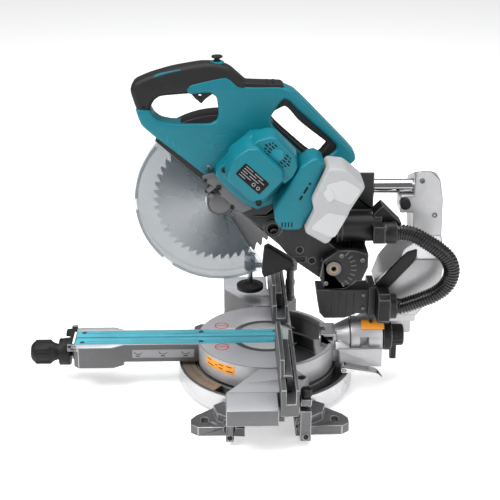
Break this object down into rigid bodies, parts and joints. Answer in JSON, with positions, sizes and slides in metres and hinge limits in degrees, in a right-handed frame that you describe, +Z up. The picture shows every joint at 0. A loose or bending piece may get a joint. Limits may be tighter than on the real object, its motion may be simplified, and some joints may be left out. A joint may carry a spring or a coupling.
{
  "type": "sliding compound mitre saw",
  "caption": "Bench-top cordless sliding compound mitre saw with raised head, slide poles, bevel arm, turntable, fences, extension wings, vise and dust hose.",
  "frame": {"origin": "the turntable's pivot axis on the bench plane, at the centre of the four bench-bolt slots", "axes": "+X to the operator's right, +Y rearwards, +Z up; the operator stands at -Y"},
  "size_m": [0.504, 0.7092, 0.569],
  "materials": {
    "cast_aluminium": "cast, bead-blasted, clear-coated",
    "grey_paint": "satin hammered grey paint",
    "dark_paint": "satin dark grey paint",
    "steel": "ground and chromed steel",
    "blade_steel": "radially brushed steel",
    "dark_steel": "blackened steel",
    "bronze": "sintered bronze",
    "teal_plastic": "fine-grained moulded plastic",
    "black_rubber": "soft overmoulded rubber",
    "black_plastic": "moulded plastic",
    "kerf_plastic": "moulded plastic",
    "scale_plate": "printed scale plate",
    "pointer_orange": "moulded plastic",
    "grey_plastic": "light grey moulded plastic",
    "guard_plastic": "clear bluish polycarbonate"
  },
  "bodies": {
    "base": {"base_casting": "cast_aluminium", "mitre_scale": "scale_plate", "pivot_bolt": "dark_steel", "fence_left": "cast_aluminium", "fence_right": "cast_aluminium", "vise_post": "dark_steel"},
    "fence_slider_left": {"upper_fence_left": "grey_paint"},
    "fence_slider_right": {"upper_fence_right": "grey_paint"},
    "wing_frame_left": {"wing_left": "cast_aluminium", "wing_rods_left": "steel"},
    "wing_frame_right": {"wing_right": "cast_aluminium", "wing_rods_right": "steel"},
    "wing_screw_left": {"wing_knob_left": "black_plastic"},
    "wing_screw_right": {"wing_knob_right": "black_plastic"},
    "vise_slider": {"vise_arm": "cast_aluminium"},
    "vise_foot": {"vise_pad": "black_rubber"},
    "vise_spindle": {"vise_screw": "black_plastic"},
    "table": {"turntable": "cast_aluminium", "front_arm": "grey_paint", "kerf_boards": "kerf_plastic", "knob_shaft": "steel", "bevel_bracket": "cast_aluminium", "bevel_bolt": "dark_steel"},
    "mitre_grip": {"mitre_knob": "black_plastic"},
    "mitre_detent": {"detent_lever": "black_plastic"},
    "bevel_release": {"release_lever": "cast_aluminium"},
    "tilt_arm": {"bevel_arm": "cast_aluminium", "column": "grey_paint", "slide_poles": "steel", "pole_stop": "dark_paint", "lower_duct": "dark_paint", "duct_elbow": "black_plastic", "bevel_pointer": "pointer_orange", "dust_hose": "black_rubber"},
    "bevel_lock": {"bevel_lock_knob": "black_plastic"},
    "slide_lock": {"slide_lock_knob": "black_plastic"},
    "slide_carriage": {"carriage": "dark_paint", "pole_bushings": "bronze", "head_pivot_pin": "steel", "return_spring": "dark_steel", "dust_pipe": "black_plastic", "hose_connector": "black_plastic"},
    "saw_head": {"blade_case": "dark_paint", "gear_housing": "cast_aluminium", "head_arm": "dark_paint", "housing_right": "teal_plastic", "housing_left": "teal_plastic", "grip_cover": "black_rubber", "motor_cover": "teal_plastic", "motor_core": "dark_steel", "battery_holder": "teal_plastic", "switch_block": "black_plastic", "dust_flap": "black_rubber"},
    "blade_unit": {"spindle": "steel", "blade_flange": "dark_steel", "blade": "blade_steel"},
    "swing_guard": {"lower_guard": "guard_plastic"},
    "battery": {"battery_pack": "grey_plastic"},
    "lock_off": {"lock_off_button": "black_plastic"},
    "trigger_lever": {"trigger": "black_plastic"}
  },
  "joints": [
    {"name": "fence_left_slide", "type": "slide", "parent": "base", "child": "fence_slider_left", "axis": [-1, 0, 0], "range_m": [0, 0.036]},
    {"name": "fence_right_slide", "type": "slide", "parent": "base", "child": "fence_slider_right", "axis": [1, 0, 0], "range_m": [0, 0.036]},
    {"name": "wing_left_slide", "type": "slide", "parent": "base", "child": "wing_frame_left", "axis": [-1, 0, 0], "range_m": [0, 0.06]},
    {"name": "wing_right_slide", "type": "slide", "parent": "base", "child": "wing_frame_right", "axis": [1, 0, 0], "range_m": [0, 0.06]},
    {"name": "wing_left_screw", "type": "hinge", "parent": "wing_frame_left", "child": "wing_screw_left", "pos_m": [-0.208, 0.054, 0.083], "axis": [0, 0, 1], "continuous": true},
    {"name": "wing_right_screw", "type": "hinge", "parent": "wing_frame_right", "child": "wing_screw_right", "pos_m": [0.208, 0.054, 0.083], "axis": [0, 0, 1], "continuous": true},
    {"name": "vise_height", "type": "slide", "parent": "base", "child": "vise_slider", "axis": [0, 0, 1], "range_m": [0, 0.016]},
    {"name": "vise_clamp", "type": "slide", "parent": "vise_slider", "child": "vise_foot", "axis": [0, 0, 1], "range_m": [-0.02, 0]},
    {"name": "vise_turn", "type": "hinge", "parent": "vise_slider", "child": "vise_spindle", "pos_m": [-0.148, -0.023, 0.153], "axis": [0, 0, 1], "continuous": true},
    {"name": "mitre_turn", "type": "hinge", "parent": "base", "child": "table", "pos_m": [0, 0, 0.045], "axis": [0, 0, 1], "range_deg": [-50, 50]},
    {"name": "mitre_grip_turn", "type": "hinge", "parent": "table", "child": "mitre_grip", "pos_m": [0, -0.37, 0.057], "axis": [0, 1, 0], "continuous": true},
    {"name": "mitre_detent_press", "type": "hinge", "parent": "table", "child": "mitre_detent", "pos_m": [0, -0.329, 0.0845], "axis": [1, 0, 0], "range_deg": [0, 12], "stiffness_Nm_per_rad": 0.6, "springref_deg": -20.05},
    {"name": "bevel_release_lift", "type": "hinge", "parent": "table", "child": "bevel_release", "pos_m": [0.054, 0.128, 0.0485], "axis": [1, 0, 0], "range_deg": [0, 18], "stiffness_Nm_per_rad": 0.6, "springref_deg": -20.05},
    {"name": "bevel_tilt", "type": "hinge", "parent": "table", "child": "tilt_arm", "pos_m": [0, 0.17, 0.083], "axis": [0, 1, 0], "range_deg": [-45, 5]},
    {"name": "bevel_lock_turn", "type": "hinge", "parent": "tilt_arm", "child": "bevel_lock", "pos_m": [0, 0.206, 0.083], "axis": [0, 1, 0], "range_deg": [-70, 0]},
    {"name": "slide_lock_turn", "type": "hinge", "parent": "tilt_arm", "child": "slide_lock", "pos_m": [-0.02, 0.228, 0.316], "axis": [1, 0, 0], "continuous": true},
    {"name": "carriage_slide", "type": "slide", "parent": "tilt_arm", "child": "slide_carriage", "axis": [0, -1, 0], "range_m": [-0.01, 0.19], "deforming": ["dust_hose"]},
    {"name": "head_lower", "type": "hinge", "parent": "slide_carriage", "child": "saw_head", "pos_m": [0, 0.106, 0.232], "axis": [1, 0, 0], "range_deg": [0, 42], "stiffness_Nm_per_rad": 16, "springref_deg": -80.21},
    {"name": "blade_spin", "type": "hinge", "parent": "saw_head", "child": "blade_unit", "pos_m": [0, -0.076, 0.334], "axis": [1, 0, 0], "continuous": true},
    {"name": "guard_swing", "type": "hinge", "parent": "saw_head", "child": "swing_guard", "pos_m": [0, -0.076, 0.334], "axis": [1, 0, 0], "range_deg": [-126, 0]},
    {"name": "battery_slide", "type": "slide", "parent": "saw_head", "child": "battery", "axis": [0, 0.5, 0.866], "range_m": [0, 0.07]},
    {"name": "lock_off_press", "type": "slide", "parent": "saw_head", "child": "lock_off", "axis": [0, 0, -1], "range_m": [0, 0.004], "stiffness_N_per_m": 400, "springref_m": -0.004},
    {"name": "trigger_squeeze", "type": "hinge", "parent": "saw_head", "child": "trigger_lever", "pos_m": [0.008, -0.086, 0.516], "axis": [1, 0, 0], "range_deg": [-12, 0], "stiffness_Nm_per_rad": 0.3, "springref_deg": 28.65}
  ],
  "couplings": [
    {"joint": "guard_swing", "follows": "head_lower", "ratio": -3}
  ]
}
